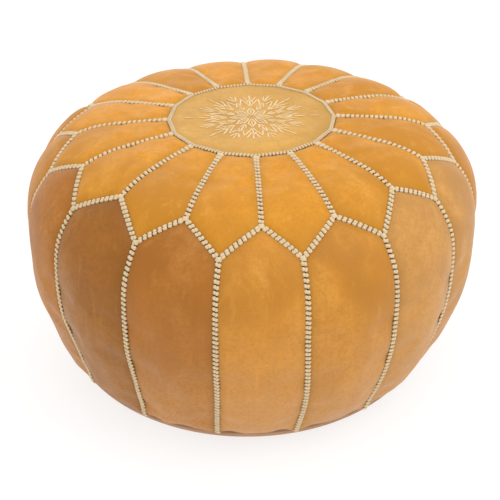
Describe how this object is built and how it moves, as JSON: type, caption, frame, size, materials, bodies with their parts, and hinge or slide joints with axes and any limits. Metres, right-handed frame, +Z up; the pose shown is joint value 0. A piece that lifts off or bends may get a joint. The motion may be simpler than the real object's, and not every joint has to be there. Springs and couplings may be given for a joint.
{
  "type": "leather pouf",
  "caption": "Low round stuffed leather pouf, stitched from petals and side panels round a top medallion, with thick braided seams and a zip in its dished base.",
  "frame": {"origin": "centre of the base on the floor", "axes": "+Z up along the pouf's axis; one radial seam of the top lies towards -Y; the zip runs along X"},
  "size_m": [0.54, 0.54, 0.3146],
  "materials": {
    "petal_leather": "satin",
    "side_leather": "satin",
    "medallion_leather": "satin",
    "base_leather": "satin",
    "cream_thread": "matte",
    "pale_gold_thread": "satin",
    "sewing_thread": "matte",
    "zip_tape": "matte",
    "zip_brass": "satin",
    "liner_cotton": "matte",
    "stuffing": "matte"
  },
  "bodies": {
    "cover": {"base_left": "base_leather", "base_right": "base_leather", "base_stitching": "sewing_thread", "hem_thread": "sewing_thread", "liner_bag": "liner_cotton", "medallion": "medallion_leather", "medallion_braid": "cream_thread", "medallion_embroidery": "pale_gold_thread", "peak_knots": "cream_thread", "petal_01": "petal_leather", "petal_02": "petal_leather", "petal_03": "petal_leather", "petal_04": "petal_leather", "petal_05": "petal_leather", "petal_06": "petal_leather", "petal_07": "petal_leather", "petal_08": "petal_leather", "petal_09": "petal_leather", "petal_10": "petal_leather", "petal_11": "petal_leather", "petal_12": "petal_leather", "petal_13": "petal_leather", "petal_14": "petal_leather", "petal_15": "petal_leather", "petal_16": "petal_leather", "petal_braids": "cream_thread", "side_braids": "cream_thread", "side_panel_01": "side_leather", "side_panel_02": "side_leather", "side_panel_03": "side_leather", "side_panel_04": "side_leather", "side_panel_05": "side_leather", "side_panel_06": "side_leather", "side_panel_07": "side_leather", "side_panel_08": "side_leather", "side_panel_09": "side_leather", "side_panel_10": "side_leather", "side_panel_11": "side_leather", "side_panel_12": "side_leather", "side_panel_13": "side_leather", "side_panel_14": "side_leather", "side_panel_15": "side_leather", "side_panel_16": "side_leather", "stuffing": "stuffing", "valley_knots": "cream_thread", "zigzag_braids": "cream_thread", "zip_bottom_stop": "zip_brass", "zip_tape_left": "zip_tape", "zip_tape_right": "zip_tape", "zip_teeth_left": "zip_brass", "zip_teeth_right": "zip_brass", "zip_top_stops": "zip_brass"},
    "zip_slider": {"zip_slider": "zip_brass"},
    "zip_pull": {"zip_pull": "zip_brass"}
  },
  "joints": [
    {"name": "zip_slide", "type": "slide", "parent": "cover", "child": "zip_slider", "axis": [-1, 0, 0], "range_m": [0, 0.2648]},
    {"name": "pull_hinge", "type": "hinge", "parent": "zip_slider", "child": "zip_pull", "pos_m": [0.13245, 0, 0.0084], "axis": [0, 1, 0], "range_deg": [-170, 0]}
  ]
}
